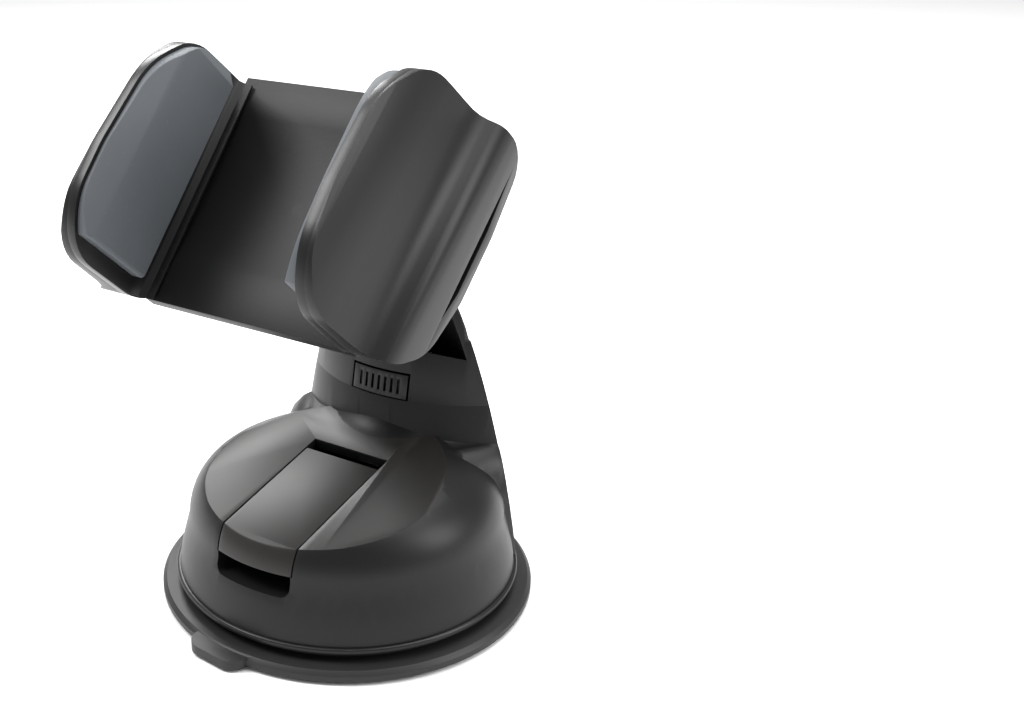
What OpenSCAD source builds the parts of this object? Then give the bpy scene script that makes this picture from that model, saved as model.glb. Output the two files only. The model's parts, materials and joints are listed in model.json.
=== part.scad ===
// Dashboard phone holder: a suction base with a lock lever, a tower with a clip-on
// cowl, a clamped ball joint, and a cradle whose two arms close on the phone.
// The origin is the centre of the suction face, +Z is up and the front faces -Y.

/* [Suction pad] */
// Radius of the suction pad
pad_r = 43.4; // [38:0.2:50]
// Thickness of the suction pad
pad_t = 3; // [2.5:0.5:4]
// Height of the soft neck between the pad and the housing
neck_h = 2; // [1.5:0.5:3]
// Width of the pull tab
tab_w = 15; // [10:1:20]
// Reach of the pull tab beyond the pad
tab_reach = 3; // [2.5:0.5:8]
// Angle of the pull tab from the front
tab_angle = -5; // [-30:1:30]

/* [Base housing] */
// How far the housing rim stands inside the pad edge
rim_inset = 3.4; // [3:0.2:5]
// Thickness of the flange ring under the housing
flange_t = 1.3; // [1:0.1:2]
// Radius of the rounded shoulder of the dome
shoulder_r = 13; // [10:0.5:16]
// Height of the centre of the shoulder arc
shoulder_z = 18.5; // [17:0.5:22]
// Wall of the moulded housings
wall = 2.2; // [1.8:0.1:2.6]
// Height of the sloping top face above the pad, measured on the axis
face_z = 31.9; // [30:0.5:36]
// Slope of the top face in degrees, falling to the front
face_slope = 10.3; // [8:0.5:13]

/* [Lock lever] */
// Width of the lock lever
lever_w = 19.4; // [16:0.2:23]
// Thickness of the lever strip
lever_t = 2.4; // [2:0.1:3]
// Gap round the lever
lever_gap = 0.35; // [0.3:0.05:0.6]
// Where the lever strip ends at the back
lever_back_y = -2.3; // [-4:0.1:-1]
// Length of the open slot behind the lever
lever_slot = 3.8; // [3:0.1:5]
// Height of the lower edge of the lever
lever_low_z = 20.3; // [19:0.1:22]
// Height of the finger pocket under the lever
pocket_h = 4.8; // [4.2:0.1:5.5]
// Radius of the lever pivot pin
lever_pin_r = 1.5; // [1.2:0.1:1.8]
// Travel of the suction spindle when the lever opens
spindle_travel = 2; // [1.5:0.1:2.2]
// Radius of the suction spindle
spindle_r = 3; // [2.5:0.25:3.25]

/* [Tower] */
// Height of the seam between the housing and the cowl
seam_z = 41.8; // [39:0.2:44]
// Radius of the back of the tower at the seam
seam_r = 33; // [31:0.5:35]
// Height of the tip of the cowl
cowl_z = 75.5; // [72:0.5:80]
// Radius of the back of the tower at the tip
cowl_r = 22.5; // [20:0.5:24]
// Radius of the rounded front of the tower
front_r = 36; // [33:0.5:40]
// Front of the tower at the seam, measured from the axis
front_y = 13; // [11:0.5:15]
// Lean of the tower front, in degrees
front_lean = 9.5; // [7:0.5:11]
// Radius of the sweep between the tower and the top face
sweep_r = 9; // [6:0.5:11]
// Radius of the line where the tower's foot meets the top face
foot_r = 27.5; // [26:0.5:31]
// Height of the lower lip of the cowl mouth
mouth_z = 59; // [56:0.5:62]
// Width of a release tab
release_w = 14.6; // [10:0.2:17]
// Height of a release tab
release_h = 6; // [4.5:0.1:7.5]
// Travel of a release tab
release_travel = 1; // [0.6:0.1:1.2]

/* [Ball joint] */
// Radius of the ball
ball_r = 8.5; // [7:0.25:10.2]
// Radius of the ball's neck
neck_r = 3.3; // [2.8:0.1:4]
// Ball centre in front of the axis (negative is forward)
ball_y = 8; // [4:0.5:12]
// Height of the ball centre
ball_z = 78; // [76:0.5:82]
// Angle of the ball's neck below the horizontal
neck_angle = 45; // [40:1:50]
// Thickness of the friction seat round the ball
seat_t = 1.45; // [1.2:0.05:1.8]
// Running clearance of ball and seat
ball_fit = 0.05; // [0.03:0.01:0.1]
// Corner radius of the locking nut
nut_r = 20; // [18:0.5:24]
// Length of the locking nut
nut_l = 16; // [14:0.5:20]
// How far the nut reaches behind the ball centre
nut_back = 3; // [2.5:0.1:3.5]
// Length of the ribbed collar
collar_l = 4; // [3:0.5:6]

/* [Cradle] */
// Angle by which the cradle leans back from upright
tilt = 41.7; // [20:0.1:60]
// Gap between the grip pads with the arms closed
grip_gap = 45.4; // [40:0.2:54]
// Width over the closed arms
cradle_w = 72; // [70:1:88]
// Depth of the cradle body from its back to the tray
cradle_d = 14; // [13:0.5:18]
// Top edge of the tray above the ball centre
tray_top = 22; // [20:0.5:28]
// Bottom edge of the tray below the ball centre
tray_bottom = 31.5; // [30:0.5:39]
// Reach of the arms in front of the tray
arm_reach = 29.5; // [25:0.5:36]
// Thickness of the arms beside the phone
wing_t = 5; // [4:0.25:6]
// Depth of the thick root of the arms
root_d = 15.7; // [13:0.1:17]
// Thickness of the grip pads
grip_t = 3.3; // [2.5:0.1:4]
// Travel of each arm
arm_travel = 18; // [12:0.5:21]
// Wall of the cradle mouldings
cradle_wall = 2.4; // [2:0.1:2.8]
// Gap between parts that slide past each other
slide_gap = 0.4; // [0.3:0.05:0.6]
// Half width of the back cover
back_half_w = 20; // [18:0.5:22]
// Tooth module of the rack and pinion
tooth_m = 1; // [0.9:0.05:1.1]
// Teeth on the pinion
pinion_teeth = 10; // [9:1:12]
// Pinion centre below the ball centre
pinion_drop = 5.25; // [4:0.25:7]

/* [Hidden] */
$fn = 96;
eps = 0.01;
big = 200;

rim_r = pad_r - rim_inset;
flange_z = pad_t + neck_h;
housing_z = flange_z + flange_t;
neck_out_r = rim_r - 2.5;
neck_in_r = rim_r - 9;
shoulder_c = rim_r - 3.5 - shoulder_r;
shoulder_end = 62;
crown_rise = 0.5;
tower_bottom_r = rim_r - 0.2;
lever_half = lever_w / 2;
slot_half = lever_half + lever_gap;
slot_end_y = lever_back_y + lever_slot;

// Centre and radius of the circle through three points of a profile
function circle_centre(a, b, c) =
    let (d = 2 * (a[0] * (b[1] - c[1]) + b[0] * (c[1] - a[1]) + c[0] * (a[1] - b[1])),
        qa = a * a, qb = b * b, qc = c * c)
    [(qa * (b[1] - c[1]) + qb * (c[1] - a[1]) + qc * (a[1] - b[1])) / d,
     (qa * (c[0] - b[0]) + qb * (a[0] - c[0]) + qc * (b[0] - a[0])) / d];

function unit(v) = v / norm(v);

// Points along an arc
function arc(c, r, from, to, n) = [for (i = [0:n]) let (a = from + (to - from) * i / n)
    [c[0] + r * cos(a), c[1] + r * sin(a)]];

// Corners (x, y, radius) of a convex outline moved inwards by s
function inset(points, s) = [for (i = [0:len(points) - 1])
    let (count = len(points), p = [points[i][0], points[i][1]],
        a = points[(i + count - 1) % count], b = points[(i + 1) % count],
        u = unit([a[0], a[1]] - p), v = unit([b[0], b[1]] - p), m = unit(u + v), half = acos(u * v) / 2)
    [p[0] + m[0] * s / sin(half), p[1] + m[1] * s / sin(half), max(points[i][2] - s, 0.6)]];

// Outline through the corners (x, y, radius), each rounded to its radius
function rounded(points, n = 6) = [for (i = [0:len(points) - 1])
    let (count = len(points), p = [points[i][0], points[i][1]], r = points[i][2],
        a = points[(i + count - 1) % count], b = points[(i + 1) % count],
        u = unit([a[0], a[1]] - p), v = unit([b[0], b[1]] - p), m = unit(u + v), half = acos(u * v) / 2,
        c = p + m * r / sin(half), foot_a = p + u * r / tan(half) - c, foot_b = p + v * r / tan(half) - c,
        t0 = atan2(foot_a[1], foot_a[0]), t1 = atan2(foot_b[1], foot_b[0]),
        sweep = ((t1 - t0 + 540) % 360) - 180)
    for (k = [0:n]) c + r * [cos(t0 + sweep * k / n), sin(t0 + sweep * k / n)]];

// The dome as a solid of revolution, shrunk by s
module dome_body(s) {
    end = [shoulder_c + (shoulder_r - s) * cos(shoulder_end), shoulder_z + (shoulder_r - s) * sin(shoulder_end)];
    rotate_extrude() polygon(concat(
        [[0, housing_z], [rim_r - 0.8 - s, housing_z], [rim_r - 1.4 - s, housing_z + 4]],
        arc([shoulder_c, shoulder_z], shoulder_r - s, 0, shoulder_end, 8),
        [[0, end[1] + end[0] * crown_rise]]));
}

// Circle that the back of the tower follows, from the rim through the seam to the tip
back_low = [tower_bottom_r, housing_z];
back_top = [cowl_r, cowl_z];
back_c = circle_centre(back_low, [seam_r, seam_z], back_top);
back_arc_r = norm(back_low - back_c);
function back_at(z) = back_c[0] + sqrt(back_arc_r * back_arc_r - (z - back_c[1]) * (z - back_c[1]));
function front_at(z) = front_y + (z - seam_z) * tan(front_lean);

// The back of the tower as a solid of revolution, shrunk by s
module tower_back(s) {
    a0 = atan2(back_low[1] - back_c[1], back_low[0] - back_c[0]);
    a1 = atan2(back_top[1] - back_c[1], back_top[0] - back_c[0]);
    rotate_extrude() polygon(concat([[0, back_low[1]]], arc(back_c, back_arc_r - s, a0, a1 + 2, 12),
        [[0, cowl_z + 6]]));
}

// The rounded front of the tower, leaning back, shrunk by s
module tower_front(s) {
    translate([0, front_y + front_r, seam_z]) rotate([-front_lean, 0, 0])
        translate([0, 0, -20]) cylinder(h = 80, r = front_r - s);
}

// The sweep at the foot of the tower, running out in a shoulder that sinks into the dome
module tower_foot(s) {
    foot_z = seam_z - 0.2;
    low_z = foot_z - sweep_r;
    translate([0, front_y - sweep_r + 0.3 + foot_r, 0]) rotate_extrude()
        difference() {
            polygon([[0, housing_z], [foot_r + 8 - s, housing_z], [foot_r + 7 - s, low_z - 9],
                [foot_r + 4.6 - s, low_z - 3.4], [foot_r + 2.4 - s, low_z - 1.1 - s], [foot_r, low_z - s],
                [foot_r, foot_z], [0, foot_z]]);
            translate([foot_r, foot_z]) circle(r = sweep_r + s);
        }
}

// Everything below the sloping top face, lowered by s
module under_face(s) {
    translate([0, 0, face_z - s]) rotate([face_slope, 0, 0]) translate([-big / 2, -big / 2, -big])
        cube([big, big, big]);
}

// The outside of the base, shrunk by s
module base_body(s) {
    intersection() {
        dome_body(s);
        under_face(s);
    }
    intersection() {
        tower_back(s);
        union() {
            tower_foot(s);
            tower_front(s);
        }
        translate([-big / 2, -big / 2, 0]) cube([big, big, seam_z - s]);
    }
}

// A box given by its centre line and its limits
module block(x0, x1, y0, y1, z0, z1) {
    translate([x0, y0, z0]) cube([x1 - x0, y1 - y0, z1 - z0]);
}

// Suction pad with its pull tab and its soft neck
module suction_pad() {
    step = 0.9;
    color([0.06, 0.06, 0.07]) {
        rotate_extrude() polygon([[0, 0], [pad_r - step, 0], [pad_r, 0.8], [pad_r, pad_t * 0.7],
            [pad_r - step, pad_t], [neck_out_r, pad_t], [neck_out_r, flange_z], [neck_in_r, flange_z],
            [neck_in_r, pad_t], [0, pad_t]]);
        rotate([0, 0, tab_angle]) difference() {
            union() {
                block(-tab_w / 2, tab_w / 2, -pad_r - tab_reach + 4, -pad_r + 3, 0.5, pad_t - 0.3);
                block(-tab_w / 2 + 4, tab_w / 2 - 4, -pad_r - tab_reach, -pad_r, 0.5, pad_t - 0.3);
                for (side = [-1, 1]) translate([side * (tab_w / 2 - 4), -pad_r - tab_reach + 4, 0.5])
                    cylinder(h = pad_t - 0.8, r = 4);
            }
            translate([0, 0, -1]) cylinder(h = pad_t + 2, r = pad_r - 2);
        }
    }
}

screw_circle = 24;
screw_angles = [-30, 90, 210];
cover_t = 2.2;
upstand_h = 3;
cover_z = housing_z + upstand_h;
upstand_r = rim_r - 4;

// Flange ring that clamps the pad's neck
module flange_ring() {
    color([0.1, 0.1, 0.11]) rotate_extrude() polygon([[neck_in_r, flange_z], [rim_r, flange_z],
        [rim_r, housing_z - 0.3], [rim_r - 0.4, housing_z], [upstand_r, housing_z], [upstand_r, cover_z],
        [upstand_r - 5, cover_z], [upstand_r - 5, housing_z], [neck_in_r, housing_z]]);
}

pivot_y = lever_back_y - 2.3;
pivot_z = face_z - 5.9;
cam_r = 3.5;
cam_back = 1.25;
cam_up = 1;
cam_gap = 0.3;
cam_x0 = spindle_r + 1.2;
cam_x1 = cam_x0 + 3;
cross_r = 1.5;
cam_reach = cam_r + cross_r + cam_gap;
cross_z = pivot_z + cam_up - sqrt(cam_reach * cam_reach - (pivot_y + cam_back) * (pivot_y + cam_back)) - 0.16;
cross_half = cam_x1 + 0.3;
ear_x0 = lever_half + 0.6;
ear_x1 = ear_x0 + 3;

// The strip of the base's skin that the lever takes up
module lever_band(half, skin, front_low) {
    intersection() {
        block(-half, half, -big / 2, 0, front_low, big);
        difference() {
            base_body(0);
            base_body(skin);
        }
    }
}

// Housing: the dome, its sloping face and the foot of the tower
module base_housing() {
    pocket_low = lever_low_z - pocket_h;
    color([0.12, 0.12, 0.13]) difference() {
        union() {
            difference() {
                base_body(0);
                difference() {
                    base_body(wall);
                    // block that carries the finger pocket
                    block(-slot_half - 2, slot_half + 2, -big / 2, -rim_r + 14, pocket_low - 2, lever_low_z + 2);
                }
                // open underside
                translate([0, 0, housing_z - eps]) cylinder(h = cover_z + cover_t - housing_z, r = upstand_r + 0.2);
            }
            // ears for the lever pin
            for (side = [-1, 1]) mirror([side < 0 ? 1 : 0, 0, 0]) intersection() {
                block(ear_x0, ear_x1, pivot_y - 4, pivot_y + 4, pivot_z - 4, face_z + 3);
                base_body(wall / 2);
            }
            // screw posts
            for (a = screw_angles) intersection() {
                rotate([0, 0, a]) translate([screw_circle, 0, cover_z + cover_t]) cylinder(h = 30, r = 3.4);
                base_body(wall / 2);
            }
            // tongue that plugs into the cowl
            intersection() {
                tower_back(wall + release_travel + slide_gap);
                tower_front(wall + release_travel + slide_gap);
                block(-tongue_half, tongue_half, 0, big, seam_z - wall, seam_z + tongue_h);
            }
        }
        // slot for the lever
        intersection() {
            block(-slot_half, slot_half, -big / 2, slot_end_y, lever_low_z - eps, big);
            difference() {
                base_body(-1);
                base_body(lever_t + 0.6);
            }
        }
        block(-slot_half, slot_half, -rim_r + 14 + 3, slot_end_y, pivot_z + 2, big);
        // finger pocket
        intersection() {
            union() {
                block(-lever_half + 2, lever_half - 2, -big / 2, -rim_r + 12, pocket_low, lever_low_z + eps);
                block(-lever_half, lever_half, -big / 2, -rim_r + 12, pocket_low + 2, lever_low_z + eps);
                for (side = [-1, 1]) translate([side * (lever_half - 2), 0, pocket_low + 2]) rotate([90, 0, 0])
                    cylinder(h = big / 2, r = 2);
            }
            block(-big / 2, big / 2, -big / 2, -rim_r + 12, 0, big);
        }
        // bore for the lever pin
        translate([-ear_x1 - 1, pivot_y, pivot_z]) rotate([0, 90, 0]) cylinder(h = 2 * ear_x1 + 2, r = lever_pin_r);
        for (a = screw_angles) rotate([0, 0, a]) translate([screw_circle, 0, cover_z]) cylinder(h = 13, r = 1.1);
        // passage for the stud screw
        translate([0, post_y, seam_z - wall - 1]) cylinder(h = wall + tongue_h + 3, r = 3.1);
    }
}

guide_h = 4;
tongue_half = 12.5;
tongue_h = 3;

// Plate that closes the housing and guides the spindle
module base_cover() {
    color([0.1, 0.1, 0.1]) difference() {
        union() {
            translate([0, 0, cover_z]) cylinder(h = cover_t, r = upstand_r);
            translate([0, 0, cover_z]) cylinder(h = guide_h, r = spindle_r + 2.4);
        }
        translate([0, 0, cover_z - 1]) cylinder(h = guide_h + 2, r = spindle_r + 0.05);
        for (a = screw_angles) rotate([0, 0, a]) translate([screw_circle, 0, cover_z - 1])
            cylinder(h = cover_t + 2, r = 1.3);
    }
}

// Screw: a low head with a cross recess on a plain shank
module screw(head_r, head_h, shank_r, shank_l) {
    difference() {
        union() {
            translate([0, 0, -head_h]) cylinder(h = head_h, r = head_r);
            cylinder(h = shank_l, r = shank_r);
        }
        for (a = [0, 90]) rotate([0, 0, a]) translate([-head_r * 0.6, -head_r * 0.13, -head_h - eps])
            cube([head_r * 1.2, head_r * 0.26, head_h * 0.6]);
    }
}

module base_screws() {
    color("dimgray") for (a = screw_angles) rotate([0, 0, a]) translate([screw_circle, 0, cover_z])
        screw(2.4, 1.4, 1.1, 12);
}

plate_t = 2;
plate_z = pad_t + spindle_travel + 0.8;

// Plate moulded into the middle of the pad, which the spindle draws up
module suction_plate() {
    color("gray") translate([0, 0, plate_z]) cylinder(h = plate_t, r = 14);
}

spindle_top = cross_z + cross_r + 0.8;

// Spindle between the suction plate and the cams
module spindle() {
    color("silver") difference() {
        translate([0, 0, plate_z + plate_t]) cylinder(h = spindle_top - plate_z - plate_t, r = spindle_r);
        translate([-spindle_r - 1, 0, cross_z]) rotate([0, 90, 0]) cylinder(h = 2 * spindle_r + 2, r = cross_r);
    }
}

module spindle_pin() {
    color("silver") translate([-cross_half, 0, cross_z]) rotate([0, 90, 0]) cylinder(h = 2 * cross_half, r = cross_r);
}

// Coil spring, as a corrugated sleeve
module coil_sleeve(inner, wire, length, turns) {
    pitch = length / turns;
    rotate_extrude() polygon(concat(
        [for (i = [0:turns]) [inner, i * pitch]],
        [for (i = [turns * 4:-1:0]) [inner + wire * (0.7 + 0.3 * cos(i * 90)), i * pitch / 4]]));
}

spring_z = cover_z + guide_h;
module spindle_spring() {
    room = cross_z - cross_r - spindle_travel - 0.4 - spring_z;
    color("silver") translate([0, 0, spring_z]) coil_sleeve(spindle_r + 0.4, 1, room, 4);
}

// Lock lever: the strip, its hub and its two cams
module lock_lever() {
    color([0.11, 0.11, 0.12]) difference() {
        union() {
            intersection() {
                lever_band(lever_half, lever_t, lever_low_z);
                block(-big, big, -big, lever_back_y, 0, big);
            }
            for (side = [-1, 1]) mirror([side < 0 ? 1 : 0, 0, 0]) {
                translate([cam_x0, pivot_y + cam_back, pivot_z + cam_up])
                    rotate([0, 90, 0]) cylinder(h = cam_x1 - cam_x0, r = cam_r);
                intersection() {
                    block(cam_x0, cam_x1, pivot_y - 6, pivot_y, pivot_z - 1, face_z);
                    base_body(lever_t / 2);
                }
            }
        }
        translate([-lever_half - 1, pivot_y, pivot_z]) rotate([0, 90, 0])
            cylinder(h = lever_w + 2, r = lever_pin_r + 0.05);
        // underside relief above the spindle
        block(-cam_x0, cam_x0, pivot_y - 8, pivot_y + 8, pivot_z - 5, pivot_z + lever_pin_r + 0.6);
    }
}

module lever_pin() {
    color("silver") translate([-ear_x1, pivot_y, pivot_z]) rotate([0, 90, 0]) cylinder(h = 2 * ear_x1, r = lever_pin_r);
}

tip_z = seam_z + (cowl_z - seam_z) * 0.45;
tip_w = 18.6;
// Rounded outline of the cowl seen from the back
module cowl_outline() {
    rise = cowl_z - tip_z;
    right = [for (i = [0:10]) let (t = sin(i * 9)) [tip_w * pow(1 - pow(t, 1.7), 0.62), tip_z + rise * t]];
    rotate([90, 0, 0]) translate([0, 0, -big / 2]) linear_extrude(big)
        polygon(concat([[-big / 2, 0], [big / 2, 0], [big / 2, tip_z]], right,
            [for (i = [9:-1:0]) [-right[i][0], right[i][1]]], [[-big / 2, tip_z]]));
}

// Outside of the cowl, shrunk by s
module cowl_body(s) {
    intersection() {
        translate([0, 0, -s]) cowl_outline();
        tower_back(s);
        tower_front(s);
        translate([-big / 2, -big / 2, seam_z - (s > 0 ? 1 : 0)]) cube([big, big, 60]);
    }
}

release_gap = 0.5;
// Outline of a release tab's window, grown by g
module release_window(g) {
    block(-release_w / 2 - g, release_w / 2 + g, -big / 2, big / 2, seam_z - 0.2, seam_z + release_h + g);
}

// Cowl: the hood that carries the ball stud, open at the front of its top
module cowl() {
    color([0.12, 0.12, 0.13]) difference() {
        cowl_body(0);
        intersection() {
            cowl_body(wall);
            block(-big / 2, big / 2, -big / 2, big / 2, 0, mouth_z);
        }
        // open mouth, with a notch for the ball's neck
        intersection() {
            tower_back(wall);
            union() {
                translate([0, 0, mouth_z]) rotate([-18, 0, 0]) block(-big / 2, big / 2, -big / 2, big / 2, 0, big);
                block(-neck_r - 1.5, neck_r + 1.5, -big / 2, post_y, shaft_foot_z + 2, big);
            }
        }
        release_window(release_gap);
    }
}

// One release tab: a slice of the cowl's skin with a ribbed face and a foot behind it
module release_tab(front) {
    color([0.1, 0.1, 0.11]) intersection() {
        difference() {
            cowl_body(0);
            cowl_body(wall);
            // finger ribs
            for (i = [-3:3]) translate([i * 1.7 - 0.35, front ? 0 : seam_r - 1.6, seam_z + 1.4])
                cube([0.7, front ? front_y + 0.9 : 10, release_h - 2.6]);
        }
        block(-release_w / 2, release_w / 2, front ? -big / 2 : (seam_r + front_y) / 2,
            front ? (seam_r + front_y) / 2 : big / 2, seam_z + 0.3, seam_z + release_h);
    }
}

module release_tab_front() {
    release_tab(true);
}

module release_tab_rear() {
    release_tab(false);
}

neck_reach = 8.5;
elbow = [0, ball_y + neck_reach * cos(neck_angle), ball_z - neck_reach * sin(neck_angle)];
shaft_foot_z = seam_z + 9.4;
post_y = (front_at(shaft_foot_z) + back_at(shaft_foot_z)) / 2;
post_r = (back_at(shaft_foot_z) - front_at(shaft_foot_z)) / 2 - wall - 0.4;
post_screw_r = 1.6;
leaf_y0 = front_at(seam_z) + wall + release_travel + 1.8;
leaf_y1 = back_at(seam_z + release_h) - wall - release_travel - 1.8;

// Spring leaf between the two release tabs
module release_spring() {
    color("silver") for (side = [-1, 1]) translate([side * (post_r + 1.7), leaf_y0, seam_z + tongue_h + 1.7])
        rotate([-90, 0, 0]) coil_sleeve(0.8, 0.6, leaf_y1 - leaf_y0, 6);
}

// Post inside the cowl that holds the ball stud
module stud_post() {
    color([0.15, 0.15, 0.16]) difference() {
        union() {
            translate([0, post_y, seam_z + tongue_h]) cylinder(h = shaft_foot_z - seam_z - tongue_h, r = post_r);
            intersection() {
                block(-post_r, post_r, 0, big, seam_z + release_h + 1, shaft_foot_z);
                cowl_body(wall);
            }
        }
        translate([0, post_y, seam_z]) cylinder(h = 30, r = post_screw_r);
    }
}

module stud_screw() {
    color("dimgray") translate([0, post_y, seam_z + tongue_h])
        screw(2.8, 2.2, post_screw_r, shaft_foot_z - seam_z - tongue_h + 6);
}

// A round bar between two points
module bar(p, q, r) {
    d = q - p;
    translate(p) rotate([0, acos(d[2] / norm(d)), atan2(d[1], d[0])]) cylinder(h = norm(d), r = r);
}

// Ball stud: ball, bent neck and foot
module ball_stud() {
    foot = [0, post_y, shaft_foot_z];
    color("silver") difference() {
        union() {
            translate([0, ball_y, ball_z]) sphere(r = ball_r);
            bar([0, ball_y, ball_z], elbow, neck_r);
            translate(elbow) sphere(r = neck_r + 0.2);
            bar(elbow, foot + [0, 0, 1.4], neck_r);
            translate(foot) cylinder(h = 1.8, r = post_r - 0.8);
        }
        translate(foot - [0, 0, 1]) cylinder(h = 7.5, r = post_screw_r);
    }
}

// Cradle frame: the origin is the ball centre, the front faces -Y before it leans back
module in_cradle() {
    translate([0, ball_y, ball_z]) rotate([-tilt, 0, 0]) children();
}

// Turns a profile of (radius, distance in front of the ball) about the socket axis
module socket_turn() {
    rotate([90, 0, 0]) rotate_extrude() children();
}

seat_in = ball_r + ball_fit;
seat_out = seat_in + seat_t;
cavity_r = seat_out + ball_fit;

// Part of the friction seat between two angles from the front
module seat_part(from, to) {
    socket_turn() polygon(concat(arc([0, 0], seat_in, 90 - from, 90 - to, 12),
        arc([0, 0], seat_out, 90 - to, 90 - from, 12)));
}

module pressure_pad() {
    color("ivory") in_cradle() seat_part(0, 25);
}

module seat_ring() {
    color("ivory") in_cradle() seat_part(60, 110);
}

thread_r = cavity_r + 3.4;
mouth_r = thread_r - 1.9;
nut_front = nut_l - nut_back;
cradle_back_y = nut_front + collar_l;
mouth_end = 116;
thread_start = 5;

// Slotted socket that grips the seat, with a stem to the cradle
module ball_socket() {
    end_r = cavity_r * sin(mouth_end);
    end_n = cavity_r * cos(mouth_end);
    core_r = thread_r - 0.8;
    color([0.14, 0.14, 0.15]) in_cradle() difference() {
        socket_turn() polygon(concat([[end_r, end_n], [mouth_r - 0.3, end_n + 0.3], [thread_r, thread_start],
            [thread_r, nut_front - 0.4], [core_r, nut_front - 0.4], [core_r, cradle_back_y], [0, cradle_back_y]],
            arc([0, 0], cavity_r, 90, 90 - mouth_end, 16)));
        for (a = [45, 135]) rotate([0, a, 0]) block(-big / 2, big / 2, -4, cavity_r, -0.8, 0.8);
        // thread of the socket screw
        rotate([90, 0, 0]) translate([0, 0, cavity_r + 1]) cylinder(h = 20, r = 1.8);
    }
}

flat_half = 32;
nut_corners = [for (i = [0:2]) for (k = [-1, 1]) 90 + i * 120 + k * flat_half];
hollow_sag = 1.8;
core_at = nut_r - 3.4;
// Outline of the nut: three flats, and three hollows between them
nut_points = [for (i = [0:2]) let (a = 90 + i * 120, dir = a + 60,
        p = nut_r * [cos(a + flat_half), sin(a + flat_half)],
        q = nut_r * [cos(a + 120 - flat_half), sin(a + 120 - flat_half)],
        chord = norm(q - p), rad = (chord * chord / 4 + hollow_sag * hollow_sag) / (2 * hollow_sag),
        c = (p + q) / 2 + (rad - hollow_sag) * [cos(dir), sin(dir)], half = asin(chord / 2 / rad))
    for (k = [0:8]) let (t = dir + half - 2 * half * k / 8) c - rad * [cos(t), sin(t)]];

// Locking nut that squeezes the socket
module locking_nut() {
    color([0.1, 0.1, 0.11]) in_cradle() difference() {
        rotate([90, 0, 0]) translate([0, 0, -nut_back]) linear_extrude(nut_l) polygon(nut_points);
        socket_turn() polygon([[0, -nut_back - 1], [mouth_r + 0.9, -nut_back - 1],
            [mouth_r + 0.6, -nut_back + 0.6], [thread_r + 0.35, thread_start - 0.2],
            [thread_r + 0.08, thread_start + 0.4], [thread_r + 0.08, nut_front + 1], [0, nut_front + 1]]);
        // cored corners on the back face
        for (a = nut_corners) rotate([90, 0, 0])
            translate([core_at * cos(a), core_at * sin(a), -nut_back - 1])
            rotate([0, 0, a]) cylinder(h = 5, r = 1.7, $fn = 3);
    }
}

// Ribbed collar between the nut and the cradle
module collar_ring() {
    color([0.16, 0.16, 0.17]) in_cradle() difference() {
        rotate([90, 0, 0]) translate([0, 0, nut_front + 0.35]) cylinder(h = collar_l - 0.35, r = thread_r + 1);
        rotate([90, 0, 0]) translate([0, 0, nut_front]) cylinder(h = collar_l + 1, r = thread_r - 0.8);
        for (a = [0:15:345]) rotate([0, a, 0]) block(thread_r + 0.5, thread_r + 2, -cradle_back_y - 1, -nut_front, -0.5, 0.5);
    }
}

tray_y = cradle_back_y + cradle_d;
tray_t = 3;
half_w = cradle_w / 2;
grip_x = grip_gap / 2;
arm_x = grip_x + grip_t;
back_wall_y = cradle_back_y + cradle_wall;

module socket_screw() {
    color("dimgray") in_cradle() rotate([90, 0, 0]) translate([0, 0, back_wall_y]) mirror([0, 0, 1])
        screw(3.6, 1.6, 1.8, back_wall_y - cavity_r - 1.6);
}

tray_half = arm_x - slide_gap;
rim_t = 2.6;
hollow_r = 90;
hollow_depth = 2;
cradle_low = -tray_bottom + 5.5;
cradle_screw_at = [for (x = [-1, 1]) for (z = [tray_top - 6, cradle_low + 5.5]) [x * (back_half_w - 5), z]];
pin_r = 1.5;

// Tray that the phone's back rests on, hollowed across its height
module cradle_tray() {
    middle = (tray_top - tray_bottom) / 2 + 1;
    color([0.12, 0.12, 0.13]) in_cradle() difference() {
        union() {
            block(-tray_half, tray_half, -tray_y, -tray_y + tray_t, -tray_bottom, tray_top);
            block(-back_half_w, back_half_w, -tray_y, -back_wall_y, tray_top - rim_t, tray_top);
            side_plate([[tray_y - 0.5, -tray_bottom], [back_wall_y, cradle_low], [back_wall_y, cradle_low + rim_t],
                [tray_y - 1, -tray_bottom + rim_t]], -back_half_w, back_half_w);
            for (at = cradle_screw_at) translate([at[0], -tray_y + 1, at[1]]) rotate([-90, 0, 0])
                cylinder(h = cradle_d - cradle_wall - 1, r = 3);
        }
        translate([-big / 2, -tray_y - hollow_r + hollow_depth, middle]) rotate([0, 90, 0]) cylinder(h = big, r = hollow_r);
        for (at = cradle_screw_at) translate([at[0], -tray_y + 4.5, at[1]]) rotate([-90, 0, 0])
            cylinder(h = 20, r = 1.1);
        // seat of the pinion pin
        translate([0, -tray_y + tray_t - 1, -pinion_drop]) rotate([-90, 0, 0]) cylinder(h = 5, r = pin_r);
    }
}

panel_t = 1;
panel_in = 11;
screw_head_h = 1.3;

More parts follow.
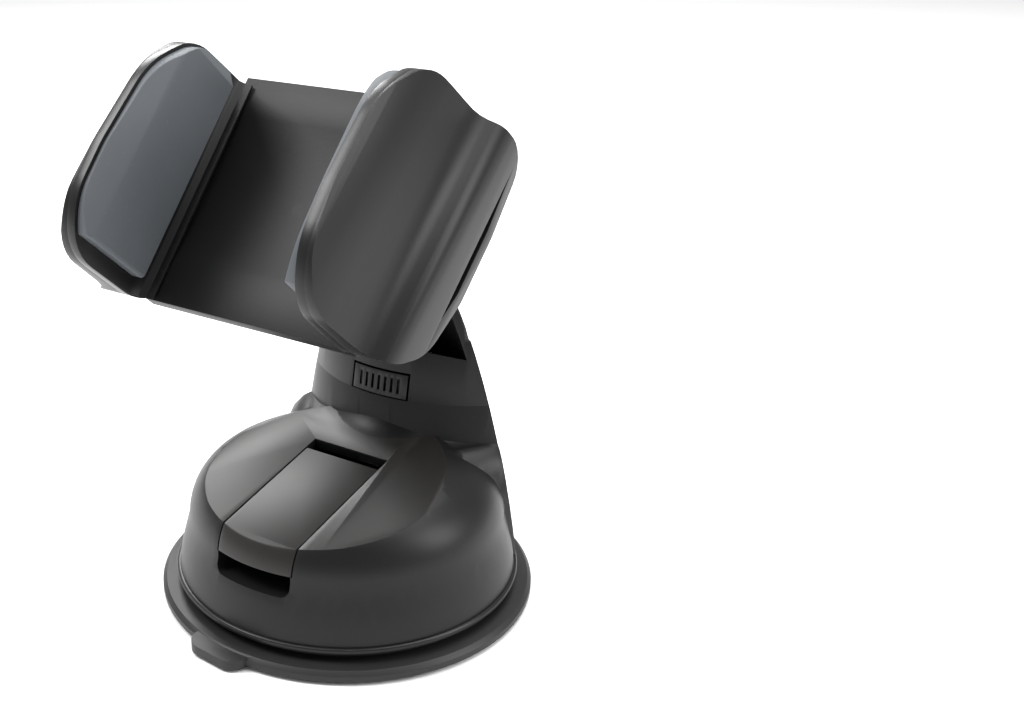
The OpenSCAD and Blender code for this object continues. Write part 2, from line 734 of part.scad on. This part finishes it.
// Back cover with two raised side panels beside the collar
module cradle_back() {
    color([0.12, 0.12, 0.13]) in_cradle() difference() {
        union() {
            block(-back_half_w, back_half_w, -back_wall_y, -cradle_back_y, cradle_low, tray_top);
            for (side = [-1, 1]) mirror([side < 0 ? 1 : 0, 0, 0]) side_panel();
        }
        // room for the collar between the panels
        translate([0, -cradle_back_y, 0]) rotate([-90, 0, 0]) cylinder(h = panel_t + 1, r = thread_r + 1.6);
        // bores for the socket screw and the cover screws
        rotate([90, 0, 0]) cylinder(h = big, r = 1.8);
        for (at = cradle_screw_at) {
            translate([at[0], -big / 2, at[1]]) rotate([-90, 0, 0]) cylinder(h = big, r = 1.3);
            translate([at[0], -cradle_back_y - screw_head_h + panel_t, at[1]]) rotate([-90, 0, 0])
                cylinder(h = 20, r = 2.4);
        }
        // bearing of the pinion pin
        translate([0, -back_wall_y - 1, -pinion_drop]) rotate([-90, 0, 0]) cylinder(h = cradle_wall, r = pin_r);
    }
}

// Raised panel with a rounded inner corner
module side_panel() {
    corner = 4;
    low = cradle_low + 0.6;
    high = tray_top - 0.6;
    y0 = -cradle_back_y - 0.5;
    y1 = -cradle_back_y + panel_t;
    block(panel_in, back_half_w, y0, y1, low + corner, high - corner);
    block(panel_in + corner, back_half_w, y0, y1, low, high);
    for (z = [low + corner, high - corner]) translate([panel_in + corner, -cradle_back_y - 0.5, z])
        rotate([-90, 0, 0]) cylinder(h = panel_t + 0.5, r = corner);
}

module cradle_screws() {
    color("dimgray") in_cradle() for (at = cradle_screw_at)
        translate([at[0], -cradle_back_y - screw_head_h + panel_t, at[1]]) rotate([90, 0, 0])
            screw(2.3, screw_head_h - 0.1, 1.1, 7);
}

arm_front = tray_y + arm_reach;
arm_back = cradle_back_y - 1.2;
arm_low = -tray_bottom - 1.5;
// Corners of an arm seen from the side: distance in front of the ball, height, radius
arm_corners = [[arm_back, tray_top - 0.7, 6.5], [arm_front - 10.5, tray_top - 3, 12],
    [arm_front - 1.9, tray_top - 14.5, 20], [arm_front, -tray_bottom + 20, 30],
    [arm_front - 0.2, -tray_bottom + 8, 15], [arm_front - 6.5, arm_low, 10.5], [arm_back + 17, arm_low, 15],
    [arm_back + 6.7, arm_low + 6.5, 13], [arm_back + 1.8, -tray_bottom + 18.5, 9], [arm_back, 2, 9]];

// Outline of an arm from the side, moved inwards by s
function arm_outline(s) = rounded(inset(arm_corners, s));

// Extrudes a side outline along X, from x0 to x1
module side_plate(points, x0, x1) {
    translate([x0, 0, 0]) rotate([90, 0, 90]) linear_extrude(x1 - x0) polygon([for (p = points) [-p[0], p[1]]]);
}

crease_tilt = 7;
// Extrudes a section (distance from the middle, distance in front) along the leaning crease of the arms
module leaned_section(points) {
    translate([0, -arm_back, -5]) rotate([-crease_tilt, 0, 0]) translate([0, arm_back, -big / 2])
        linear_extrude(big) polygon([for (p = points) [p[0], -p[1]]]);
}

arm_wall = 2.6;
shell_t = 2;
part_d = 5;
wing_x = arm_x + wing_t;
crease_n = arm_back + root_d;
cover_wall = 2.4;
arm_screw_r = 1.1;
arm_head_r = 2;
arm_head_h = 1.2;
arm_boss_r = 3;
arm_screw_l = 6;
arm_screw_at = [for (z = [tray_top - 10.5, -tray_bottom + 13.2]) [-arm_back - 9, z]];

// Outer section of an arm: thin wing, hollow sweep and thick root
function arm_section() = let (k = (half_w - wing_x) / 8) [
    [arm_x + shell_t, arm_front + 3], [arm_x + shell_t, arm_front - 0.8], [arm_x + shell_t + 0.9, arm_front - 3],
    [wing_x - 1.2, arm_front - 8], [wing_x - 0.4, arm_front - 15], [wing_x + 0.1, crease_n + 7],
    [wing_x + 0.6 * k, crease_n + 4.5], [wing_x + 1.6 * k, crease_n + 2.5], [wing_x + 3.4 * k, crease_n + 1],
    [half_w - 2.6 * k, crease_n], [half_w - 1.1 * k, crease_n - 1], [half_w - 0.2 * k, crease_n - 2.7],
    [half_w, crease_n - 5.5], [half_w, arm_back + part_d], [arm_x, arm_back + part_d], [arm_x, arm_front + 3]];

// Right arm: its inner wall, its rear shell and its foot on the tray
module arm_half() {
    rear_x = back_half_w + slide_gap;
    foot_n = tray_y + slide_gap;
    difference() {
        union() {
            side_plate(arm_outline(0), arm_x, arm_x + shell_t);
            // rear shell
            intersection() {
                difference() {
                    side_plate(arm_outline(0), rear_x, half_w);
                    side_plate(arm_outline(arm_wall), 0, big);
                }
                leaned_section([[0, -big], [half_w, -big], [half_w, arm_back + part_d], [0, arm_back + part_d]]);
            }
            // part of the root that wraps behind the tray
            intersection() {
                difference() {
                    side_plate(arm_outline(0), rear_x, arm_x + 1);
                    side_plate(arm_outline(arm_wall), 0, arm_x);
                }
                block(0, big, -tray_y + tray_t + slide_gap, 0, -big / 2, big / 2);
            }
            // foot that sweeps down to the tray
            intersection() {
                side_plate(arm_outline(0.4), arm_x - 3.4, arm_x + 1);
                translate([0, 0, -big / 2]) linear_extrude(big) polygon([[arm_x + 1, -foot_n], [arm_x - 3.2, -foot_n],
                    [arm_x - 3.2, -foot_n - 0.5], [arm_x - 1.7, -foot_n - 0.9], [arm_x - 0.6, -foot_n - 2],
                    [arm_x, -foot_n - 4.6], [arm_x + 1, -foot_n - 4.6]]);
            }
        }
        // seats of the arm's own rack
        for (z = [-pitch_r, pitch_r]) block(0, arm_x + shell_t + 1, rack_y0, rack_y1, -pinion_drop + z - rack_low,
            -pinion_drop + z + rack_low);
        for (at = arm_screw_at) translate([arm_x - 1, at[0], at[1]]) rotate([0, 90, 0]) {
            cylinder(h = 30, r = arm_screw_r);
            cylinder(h = 1 + arm_head_h, r = arm_head_r + 0.1);
        }
    }
}

module arm_right() {
    color([0.12, 0.12, 0.13]) in_cradle() arm_half();
}

module arm_left() {
    color([0.12, 0.12, 0.13]) in_cradle() mirror([1, 0, 0]) arm_half();
}

// Outer cover of an arm: the wing's skin and the hollow root
module arm_cover_half() {
    x0 = arm_x + shell_t;
    difference() {
        intersection() {
            side_plate(arm_outline(0), x0, half_w);
            leaned_section(arm_section());
        }
        difference() {
            intersection() {
                side_plate(arm_outline(arm_wall), x0 - 1, half_w - cover_wall);
                leaned_section([[0, -big], [big, -big], [big, crease_n - 3.2], [0, crease_n - 3.2]]);
            }
            for (at = arm_screw_at) translate([x0 - 1, at[0], at[1]]) rotate([0, 90, 0]) cylinder(h = 30, r = arm_boss_r);
        }
        for (at = arm_screw_at) translate([0, at[0], at[1]]) rotate([0, 90, 0])
            cylinder(h = arm_x + arm_head_h + arm_screw_l + 0.3, r = arm_screw_r);
    }
}

module arm_cover_right() {
    color([0.12, 0.12, 0.13]) in_cradle() arm_cover_half();
}

module arm_cover_left() {
    color([0.12, 0.12, 0.13]) in_cradle() mirror([1, 0, 0]) arm_cover_half();
}

// Grip pad: follows the arm's outline, with a broad bevel at the front and the top
module grip_half() {
    grip_low = -tray_bottom + 2.2;
    grip_high = tray_top - 2.6;
    intersection() {
        side_plate(arm_outline(0.7), grip_x, arm_x);
        translate([0, 0, -big / 2]) linear_extrude(big) polygon([[arm_x, -tray_y - 6], [grip_x, -tray_y - 6],
            [grip_x, -arm_front + 6.4], [arm_x - 0.8, -arm_front + 0.6], [arm_x, -arm_front]]);
        rotate([90, 0, 0]) linear_extrude(big) polygon([[arm_x, grip_low], [grip_x + 0.4, grip_low],
            [grip_x, grip_low + 0.6], [grip_x, grip_high - 3.4], [arm_x - 0.8, grip_high], [arm_x, grip_high]]);
    }
}

module grip_pad_right() {
    color([0.3, 0.32, 0.35]) in_cradle() grip_half();
}

module grip_pad_left() {
    color([0.3, 0.32, 0.35]) in_cradle() mirror([1, 0, 0]) grip_half();
}

pitch_r = tooth_m * pinion_teeth / 2;
rack_y0 = -back_wall_y - 6;
rack_y1 = -back_wall_y - 3;
rack_depth = 4;
tooth_pitch = PI * tooth_m;
rack_in = -(arm_travel + 6);
rack_low = rack_depth + 1.25 * tooth_m;
// Toothed bar along X with its teeth facing +Z, its pitch line at z = 0
module rack_bar(x0, x1, phase) {
    thick = tooth_pitch * 0.40;
    base_z = -1.25 * tooth_m;
    n0 = ceil((x0 - phase) / tooth_pitch + 0.5);
    n1 = floor((x1 - phase) / tooth_pitch - 0.5);
    rotate([90, 0, 0]) linear_extrude(rack_y1 - rack_y0) {
        polygon(concat([[x0, base_z - rack_depth], [x0, base_z]],
            [for (i = [n0:n1]) for (p = [[-thick / 2 - 0.45, base_z], [-thick / 2 + 0.3, 0.8 * tooth_m],
                [thick / 2 - 0.3, 0.8 * tooth_m], [thick / 2 + 0.45, base_z]]) [phase + i * tooth_pitch + p[0], p[1]]],
            [[x1, base_z], [x1, base_z - rack_depth]]));
    }
}

// The right rack runs below the pinion and the left rack above it
module rack_right() {
    color("darkgray") in_cradle() translate([0, rack_y1, -pinion_drop - pitch_r])
        rack_bar(rack_in, arm_x + shell_t - 0.2, tooth_pitch / 2);
}

module rack_left() {
    color("darkgray") in_cradle() translate([0, rack_y1, -pinion_drop + pitch_r]) rotate([0, 180, 0])
        rack_bar(rack_in, arm_x + shell_t - 0.2, tooth_pitch / 2);
}

module pinion() {
    thick = tooth_pitch * 0.40;
    color("darkgray") in_cradle() translate([0, rack_y1, -pinion_drop]) rotate([90, 0, 0]) difference() {
        union() {
            cylinder(h = rack_y1 - rack_y0, r = pitch_r - 1.3 * tooth_m);
            for (i = [0:pinion_teeth - 1]) rotate([0, 0, 90 + i * 360 / pinion_teeth]) linear_extrude(rack_y1 - rack_y0)
                polygon([[pitch_r - 2 * tooth_m, -thick / 2 - 0.25], [pitch_r, -thick / 2], [pitch_r + 0.8 * tooth_m, -0.25],
                    [pitch_r + 0.8 * tooth_m, 0.25], [pitch_r, thick / 2], [pitch_r - 2 * tooth_m, thick / 2 + 0.25]]);
        }
        translate([0, 0, -1]) cylinder(h = 10, r = pin_r + 0.05);
    }
}

module pinion_pin() {
    color("silver") in_cradle() translate([0, -tray_y + tray_t - 1, -pinion_drop]) rotate([-90, 0, 0])
        cylinder(h = tray_y - tray_t + 1 - back_wall_y - 1 + cradle_wall, r = pin_r);
}

// Spring that draws the arms together, in its cage behind the tray
module return_spring() {
    room = tray_y - tray_t + rack_y0 - 0.8;
    color("silver") in_cradle() translate([0, rack_y0 - 0.5, -pinion_drop]) rotate([90, 0, 0])
        coil_sleeve(pin_r + 0.6, 1, room, 2);
}

// Screws that hold an arm's cover to its shell
module arm_screw_pair() {
    for (at = arm_screw_at) translate([arm_x + arm_head_h, at[0], at[1]]) rotate([0, 90, 0])
        screw(arm_head_r, arm_head_h - 0.1, arm_screw_r, arm_screw_l);
}

module arm_screws_right() {
    color("dimgray") in_cradle() arm_screw_pair();
}

module arm_screws_left() {
    color("dimgray") in_cradle() mirror([1, 0, 0]) arm_screw_pair();
}

suction_pad();
flange_ring();
base_housing();
base_cover();
base_screws();
suction_plate();
spindle();
spindle_pin();
spindle_spring();
lock_lever();
lever_pin();
cowl();
release_tab_front();
release_tab_rear();
release_spring();
stud_post();
stud_screw();
ball_stud();
pressure_pad();
seat_ring();
ball_socket();
locking_nut();
collar_ring();
socket_screw();
cradle_tray();
cradle_back();
cradle_screws();
arm_right();
arm_left();
arm_cover_right();
arm_cover_left();
grip_pad_right();
grip_pad_left();
rack_right();
rack_left();
arm_screws_right();
arm_screws_left();
pinion();
pinion_pin();
return_spring();
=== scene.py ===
import bpy
import json
import math
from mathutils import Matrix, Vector

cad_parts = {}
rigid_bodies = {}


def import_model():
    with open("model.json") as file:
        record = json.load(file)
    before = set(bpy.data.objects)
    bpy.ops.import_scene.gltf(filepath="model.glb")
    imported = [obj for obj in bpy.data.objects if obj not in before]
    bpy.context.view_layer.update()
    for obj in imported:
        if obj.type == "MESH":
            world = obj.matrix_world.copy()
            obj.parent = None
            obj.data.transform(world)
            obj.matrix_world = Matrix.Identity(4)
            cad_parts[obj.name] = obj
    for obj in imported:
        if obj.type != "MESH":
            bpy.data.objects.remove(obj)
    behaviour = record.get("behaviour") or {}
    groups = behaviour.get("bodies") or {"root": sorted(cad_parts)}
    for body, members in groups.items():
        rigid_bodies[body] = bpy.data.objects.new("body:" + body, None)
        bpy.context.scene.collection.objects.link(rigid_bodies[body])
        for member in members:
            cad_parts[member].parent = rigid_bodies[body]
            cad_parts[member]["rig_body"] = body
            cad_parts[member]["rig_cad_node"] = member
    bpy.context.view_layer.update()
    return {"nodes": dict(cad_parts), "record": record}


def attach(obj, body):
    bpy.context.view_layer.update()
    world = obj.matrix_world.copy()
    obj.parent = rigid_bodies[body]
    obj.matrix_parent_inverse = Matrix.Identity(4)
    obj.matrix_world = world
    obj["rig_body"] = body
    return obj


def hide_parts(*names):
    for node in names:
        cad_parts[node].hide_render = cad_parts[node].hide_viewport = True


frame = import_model()
nodes = frame["nodes"]
mm = 0.001
print("frame loaded:", len(nodes), "nodes")


# ---------- small helpers ----------

def newMaterial(name):
    mat = bpy.data.materials.new(name)
    mat.use_nodes = True
    tree = mat.node_tree
    tree.nodes.clear()
    out = tree.nodes.new("ShaderNodeOutputMaterial")
    shader = tree.nodes.new("ShaderNodeBsdfPrincipled")
    tree.links.new(shader.outputs["BSDF"], out.inputs["Surface"])
    return mat, tree, shader


def addNode(tree, kind, **values):
    node = tree.nodes.new(kind)
    for key, value in values.items():
        setattr(node, key, value)
    return node


def newGroup(name, inputs, outputs):
    group = bpy.data.node_groups.new(name, "ShaderNodeTree")
    for label, kind, value in inputs:
        socket = group.interface.new_socket(label, in_out="INPUT", socket_type=kind)
        socket.default_value = value
    for label, kind in outputs:
        group.interface.new_socket(label, in_out="OUTPUT", socket_type=kind)
    return group, group.nodes.new("NodeGroupInput"), group.nodes.new("NodeGroupOutput")


def mathNode(tree, operation, a, b=None, clamp=False):
    node = addNode(tree, "ShaderNodeMath", operation=operation, use_clamp=clamp)
    for socket, value in zip(node.inputs, (a, b)):
        if value is None:
            continue
        if hasattr(value, "is_linked"):
            tree.links.new(value, socket)
        else:
            socket.default_value = value
    return node.outputs[0]


# ---------- shader groups ----------

def buildGrainGroup():
    # the fine spark-eroded grain of moulded plastic, with slow changes of gloss
    group, gin, gout = newGroup("mouldGrain", [
        ("Grain Size", "NodeSocketFloat", 3200.0), ("Blotch Size", "NodeSocketFloat", 60.0),
        ("Grain Depth", "NodeSocketFloat", 0.5)],
        [("Height", "NodeSocketFloat"), ("Blotch", "NodeSocketFloat"), ("Fleck", "NodeSocketFloat")])
    link = group.links.new
    coord = addNode(group, "ShaderNodeTexCoord")
    grain = addNode(group, "ShaderNodeTexNoise", noise_dimensions="3D")
    grain.inputs["Detail"].default_value = 3.0
    grain.inputs["Roughness"].default_value = 0.6
    link(coord.outputs["Object"], grain.inputs["Vector"])
    link(gin.outputs["Grain Size"], grain.inputs["Scale"])
    blotch = addNode(group, "ShaderNodeTexNoise", noise_dimensions="3D")
    blotch.inputs["Detail"].default_value = 4.0
    link(coord.outputs["Object"], blotch.inputs["Vector"])
    link(gin.outputs["Blotch Size"], blotch.inputs["Scale"])
    fleck = addNode(group, "ShaderNodeTexNoise", noise_dimensions="3D")
    fleck.inputs["Scale"].default_value = 900.0
    fleck.inputs["Detail"].default_value = 2.0
    link(coord.outputs["Object"], fleck.inputs["Vector"])
    dust = addNode(group, "ShaderNodeMapRange", clamp=True)
    dust.inputs["From Min"].default_value = 0.66
    dust.inputs["From Max"].default_value = 0.76
    link(fleck.outputs["Fac"], dust.inputs["Value"])
    height = mathNode(group, "MULTIPLY", grain.outputs["Fac"], gin.outputs["Grain Depth"])
    link(height, gout.inputs["Height"])
    link(blotch.outputs["Fac"], gout.inputs["Blotch"])
    link(dust.outputs["Result"], gout.inputs["Fleck"])
    return group


def buildWearGroup():
    # a mask that is 1 where an edge is rubbed, broken up by noise
    group, gin, gout = newGroup("edgeWear", [
        ("Radius", "NodeSocketFloat", 0.0006), ("Amount", "NodeSocketFloat", 1.0)],
        [("Mask", "NodeSocketFloat")])
    link = group.links.new
    bevel = addNode(group, "ShaderNodeBevel", samples=4)
    link(gin.outputs["Radius"], bevel.inputs["Radius"])
    geo = addNode(group, "ShaderNodeNewGeometry")
    dot = addNode(group, "ShaderNodeVectorMath", operation="DOT_PRODUCT")
    link(bevel.outputs["Normal"], dot.inputs[0])
    link(geo.outputs["Normal"], dot.inputs[1])
    rub = addNode(group, "ShaderNodeMapRange", clamp=True)
    rub.inputs["From Min"].default_value = 0.995
    rub.inputs["From Max"].default_value = 0.9
    link(dot.outputs["Value"], rub.inputs["Value"])
    coord = addNode(group, "ShaderNodeTexCoord")
    noise = addNode(group, "ShaderNodeTexNoise", noise_dimensions="3D")
    noise.inputs["Scale"].default_value = 240.0
    noise.inputs["Detail"].default_value = 3.0
    link(coord.outputs["Object"], noise.inputs["Vector"])
    patch = addNode(group, "ShaderNodeMapRange", clamp=True)
    patch.inputs["From Min"].default_value = 0.4
    patch.inputs["From Max"].default_value = 0.65
    link(noise.outputs["Fac"], patch.inputs["Value"])
    mask = mathNode(group, "MULTIPLY", rub.outputs["Result"], patch.outputs["Result"])
    mask = mathNode(group, "MULTIPLY", mask, gin.outputs["Amount"], clamp=True)
    link(mask, gout.inputs["Mask"])
    return group


grainGroup = buildGrainGroup()
wearGroup = buildWearGroup()

# colour, gloss and grain of each finish; sizes in metres
finishes = {
    "pad_rubber": {"color": (0.0120, 0.0120, 0.0128), "rough": 0.46, "blotch": 0.06, "grain": 2600, "bump": 0.2,
                   "wear": (0.03, 0.03, 0.032), "wearAmount": 0.4, "specular": 0.35},
    "housing_black": {"color": (0.0045, 0.0046, 0.0052), "rough": 0.40, "blotch": 0.05, "grain": 2600,
                      "bump": 0.18, "wear": (0.03, 0.03, 0.032), "wearAmount": 0.4, "specular": 0.28},
    "face_black": {"color": (0.0110, 0.0098, 0.0088), "rough": 0.40, "blotch": 0.05, "grain": 2600, "bump": 0.2,
                   "wear": (0.04, 0.038, 0.036), "wearAmount": 0.4, "specular": 0.34},
    "gloss_black": {"color": (0.0050, 0.0051, 0.0056), "rough": 0.34, "blotch": 0.04, "grain": 2200, "bump": 0.12,
                    "wear": (0.03, 0.03, 0.032), "wearAmount": 0.3, "specular": 0.32},
    "grip_grey": {"color": (0.078, 0.086, 0.094), "rough": 0.58, "blotch": 0.06, "grain": 2200, "bump": 0.22,
                  "wear": (0.10, 0.115, 0.13), "wearAmount": 0.5, "specular": 0.35},
    "tray_black": {"color": (0.0070, 0.0071, 0.0078), "rough": 0.48, "blotch": 0.05, "grain": 1500, "bump": 0.3,
                   "wear": (0.03, 0.03, 0.032), "wearAmount": 0.3, "specular": 0.22},
    "inner_plastic": {"color": (0.0065, 0.0065, 0.007), "rough": 0.42, "blotch": 0.06, "grain": 2600, "bump": 0.2,
                      "wear": (0.03, 0.03, 0.032), "wearAmount": 0.4, "specular": 0.45},
    "acetal": {"color": (0.62, 0.59, 0.5), "rough": 0.38, "blotch": 0.08, "grain": 2000, "bump": 0.1,
               "wear": (0.7, 0.68, 0.6), "wearAmount": 0.4, "specular": 0.5},
    "steel": {"color": (0.45, 0.45, 0.47), "rough": 0.3, "blotch": 0.12, "grain": 1800, "bump": 0.1,
              "wear": (0.6, 0.6, 0.62), "wearAmount": 0.6, "specular": 0.5, "metal": 1.0},
    "spring_steel": {"color": (0.3, 0.3, 0.32), "rough": 0.34, "blotch": 0.12, "grain": 1800, "bump": 0.1,
                     "wear": (0.5, 0.5, 0.52), "wearAmount": 0.6, "specular": 0.5, "metal": 1.0},
}


def makeFinish(name, look):
    mat, tree, shader = newMaterial(name)
    link = tree.links.new
    grain = addNode(tree, "ShaderNodeGroup", node_tree=grainGroup)
    grain.inputs["Grain Size"].default_value = look["grain"]
    wear = addNode(tree, "ShaderNodeGroup", node_tree=wearGroup)
    wear.inputs["Amount"].default_value = look["wearAmount"]
    base = look["color"]
    tone = addNode(tree, "ShaderNodeMix", data_type="RGBA")
    tone.inputs[6].default_value = (*[c * 0.88 for c in base], 1)
    tone.inputs[7].default_value = (*[c * 1.14 for c in base], 1)
    link(grain.outputs["Blotch"], tone.inputs[0])
    dusty = addNode(tree, "ShaderNodeMix", data_type="RGBA")
    dusty.inputs[7].default_value = (*[c * 1.5 + 0.004 for c in base], 1)
    link(tone.outputs[2], dusty.inputs[6])
    link(mathNode(tree, "MULTIPLY", grain.outputs["Fleck"], 0.25), dusty.inputs[0])
    worn = addNode(tree, "ShaderNodeMix", data_type="RGBA")
    worn.inputs[7].default_value = (*look["wear"], 1)
    link(dusty.outputs[2], worn.inputs[6])
    link(mathNode(tree, "MULTIPLY", wear.outputs["Mask"], 0.5), worn.inputs[0])
    link(worn.outputs[2], shader.inputs["Base Color"])
    # roughness: the set value, a slow blotch, and a rubbed edge that shines a little more
    low = look["rough"] - look["blotch"] / 2
    rough = mathNode(tree, "MULTIPLY_ADD", grain.outputs["Blotch"], look["blotch"])
    rough.node.inputs[2].default_value = low
    rough = mathNode(tree, "SUBTRACT", rough, mathNode(tree, "MULTIPLY", wear.outputs["Mask"], 0.08))
    link(rough, shader.inputs["Roughness"])
    bump = addNode(tree, "ShaderNodeBump")
    bump.inputs["Strength"].default_value = look["bump"]
    bump.inputs["Distance"].default_value = 0.00012
    link(grain.outputs["Height"], bump.inputs["Height"])
    link(bump.outputs["Normal"], shader.inputs["Normal"])
    shader.inputs["Metallic"].default_value = look.get("metal", 0.0)
    shader.inputs["Specular IOR Level"].default_value = look["specular"]
    return mat


materials = {name: makeFinish(name, look) for name, look in finishes.items()}
print("finishes made:", len(materials))

slotOf = {part["node"]: part["material_slot"] for part in frame["record"]["subparts"]}
for name, node in nodes.items():
    node.data.materials.clear()
    node.data.materials.append(materials[slotOf[name]])


# ---------- edges of the moulded parts ----------

def deselectAll():
    bpy.ops.object.select_all(action="DESELECT")


def activate(obj):
    deselectAll()
    obj.select_set(True)
    bpy.context.view_layer.objects.active = obj


def applyModifier(obj, kind, name, **values):
    mod = obj.modifiers.new(name, kind)
    for key, value in values.items():
        setattr(mod, key, value)
    activate(obj)
    bpy.ops.object.modifier_apply(modifier=mod.name)


def mergedCopy(source, name, dissolve=0.4):
    copy = source.copy()
    copy.data = source.data.copy()
    copy.name = name
    copy.data.name = name
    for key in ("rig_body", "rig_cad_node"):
        if key in copy:
            del copy[key]
    copy.parent = None
    bpy.context.scene.collection.objects.link(copy)
    activate(copy)
    bpy.ops.object.mode_set(mode="EDIT")
    bpy.ops.mesh.select_all(action="SELECT")
    bpy.ops.mesh.remove_doubles(threshold=1e-6)
    bpy.ops.mesh.customdata_custom_splitnormals_clear()
    bpy.ops.mesh.dissolve_limited(angle_limit=math.radians(dissolve), use_dissolve_boundaries=False)
    bpy.ops.object.mode_set(mode="OBJECT")
    return copy


smoothBelow = 28  # degrees between two faces that are shaded as one surface


def softened(nodeName, body, width, segments=3, angle=32, finish=None):
    # a CAD part again, with its sharp edges rounded as the mould rounds them
    name = nodeName + "_moulding"
    piece = mergedCopy(nodes[nodeName], name)
    applyModifier(piece, "BEVEL", "edges", width=width * mm, segments=segments, limit_method="ANGLE",
                  angle_limit=math.radians(angle), use_clamp_overlap=True, harden_normals=False,
                  miter_outer="MITER_ARC")
    activate(piece)
    bpy.ops.object.shade_smooth_by_angle(angle=math.radians(smoothBelow))
    piece.data.materials.clear()
    piece.data.materials.append(materials[finish or slotOf[nodeName]])
    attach(piece, body)
    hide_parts(nodeName)
    return piece


def bodyOf(nodeName):
    bodies = frame["record"]["behaviour"]["bodies"]
    return next(body for body, names in bodies.items() if nodeName in names)


# width of the rounded edge, in mm, of each moulded part
edgeWidths = {"base_housing": 0.5, "cowl": 0.5, "lock_lever": 0.4, "suction_pad": 0.5, "flange_ring": 0.5,
              "release_tab_front": 0.25, "release_tab_rear": 0.25, "locking_nut": 0.5, "collar_ring": 0.3,
              "ball_socket": 0.3, "cradle_tray": 0.5, "cradle_back": 0.6, "arm_right": 0.4, "arm_left": 0.4,
              "arm_cover_right": 0.8, "arm_cover_left": 0.8, "grip_pad_right": 0.5, "grip_pad_left": 0.5}

otherFinish = {"lock_lever": "face_black", "cradle_tray": "tray_black"}

for nodeName, width in edgeWidths.items():
    piece = softened(nodeName, bodyOf(nodeName), width, finish=otherFinish.get(nodeName))
    print("rounded", nodeName, len(piece.data.polygons))


# the sloping oval face is a browner black than the wall round it
faceLook = {"slope": 0.182, "width": 0.012, "lowest": 0.016, "highest": 0.0395}


def paintFace(piece):
    piece.data.materials.append(materials["face_black"])
    flat = 0
    for poly in piece.data.polygons:
        steep = -poly.normal.y / max(poly.normal.z, 0.01)
        inside = abs(poly.normal.x) < 0.03 and abs(steep - faceLook["slope"]) < faceLook["width"]
        if inside and faceLook["lowest"] < poly.center.z < faceLook["highest"]:
            poly.material_index = 1
            flat += 1
    print("oval face polygons:", flat)


paintFace(bpy.data.objects["base_housing_moulding"])


# ---------- floor, light and camera ----------

floorSize = 6
floorZ = -0.0002  # just under the pad, so that the two surfaces never coincide


def buildStage():
    deselectAll()
    bpy.ops.mesh.primitive_plane_add(size=floorSize, location=(0, 0, floorZ))
    floor = bpy.context.active_object
    floor.name = "floor"
    mat, tree, shader = newMaterial("paleFloor")
    shader.inputs["Roughness"].default_value = 0.7
    coord = addNode(tree, "ShaderNodeTexCoord")
    noise = addNode(tree, "ShaderNodeTexNoise")
    noise.inputs["Scale"].default_value = 3.0
    tone = addNode(tree, "ShaderNodeMix", data_type="RGBA")
    tone.inputs[6].default_value = (0.88, 0.88, 0.88, 1)
    tone.inputs[7].default_value = (0.91, 0.91, 0.91, 1)
    tree.links.new(coord.outputs["Object"], noise.inputs["Vector"])
    tree.links.new(noise.outputs["Fac"], tone.inputs[0])
    tree.links.new(tone.outputs[2], shader.inputs["Base Color"])
    floor.data.materials.append(mat)
    world = bpy.data.worlds.new("studio")
    bpy.context.scene.world = world
    world.use_nodes = True
    world.node_tree.nodes["Background"].inputs["Color"].default_value = (1, 1, 1, 1)
    world.node_tree.nodes["Background"].inputs["Strength"].default_value = 0.5


lights = {
    # name: (place, aim, width, height, watts)
    "topLeft": ((-0.55, -0.35, 0.85), (0, 0, 0.06), 0.5, 0.4, 10.0),
    "right": ((0.85, 0.25, 0.55), (0, 0, 0.06), 0.35, 0.6, 6.0),
    "rearLeft": ((-0.60, 0.42, 0.58), (0, -0.015, 0.03), 0.3, 0.3, 4.0),
    "overhead": ((0.1, 0.2, 1.3), (0, 0, 0), 1.2, 1.2, 20.0),
}


def buildLights():
    for name, (place, aim, width, height, watts) in lights.items():
        data = bpy.data.lights.new(name, "AREA")
        data.shape = "RECTANGLE"
        data.size = width
        data.size_y = height
        data.energy = watts
        lamp = bpy.data.objects.new(name, data)
        lamp.location = place
        lamp.rotation_euler = (Vector(aim) - Vector(place)).to_track_quat("-Z", "Y").to_euler()
        bpy.context.scene.collection.objects.link(lamp)


cameraSet = {"azimuth": 34.4, "elevation": 21.7, "distance": 0.2797, "aimHeight": 0.0595,
             "lens": 44.4, "shift": (0.161, -0.017)}


def buildCamera():
    bpy.context.scene.view_settings.view_transform = "Standard"
    data = bpy.data.cameras.new("camera")
    data.lens = cameraSet["lens"]
    data.sensor_width = 36
    data.shift_x, data.shift_y = cameraSet["shift"]
    data.clip_start = 0.01
    camera = bpy.data.objects.new("camera", data)
    az = math.radians(cameraSet["azimuth"])
    el = math.radians(cameraSet["elevation"])
    back = Vector((math.sin(az) * math.cos(el), -math.cos(az) * math.cos(el), math.sin(el)))
    camera.location = Vector((0, 0, cameraSet["aimHeight"])) + back * cameraSet["distance"]
    camera.rotation_euler = (-back).to_track_quat("-Z", "Y").to_euler()
    bpy.context.scene.collection.objects.link(camera)
    bpy.context.scene.camera = camera


buildStage()
buildLights()
buildCamera()
print("stage, lights and camera made")
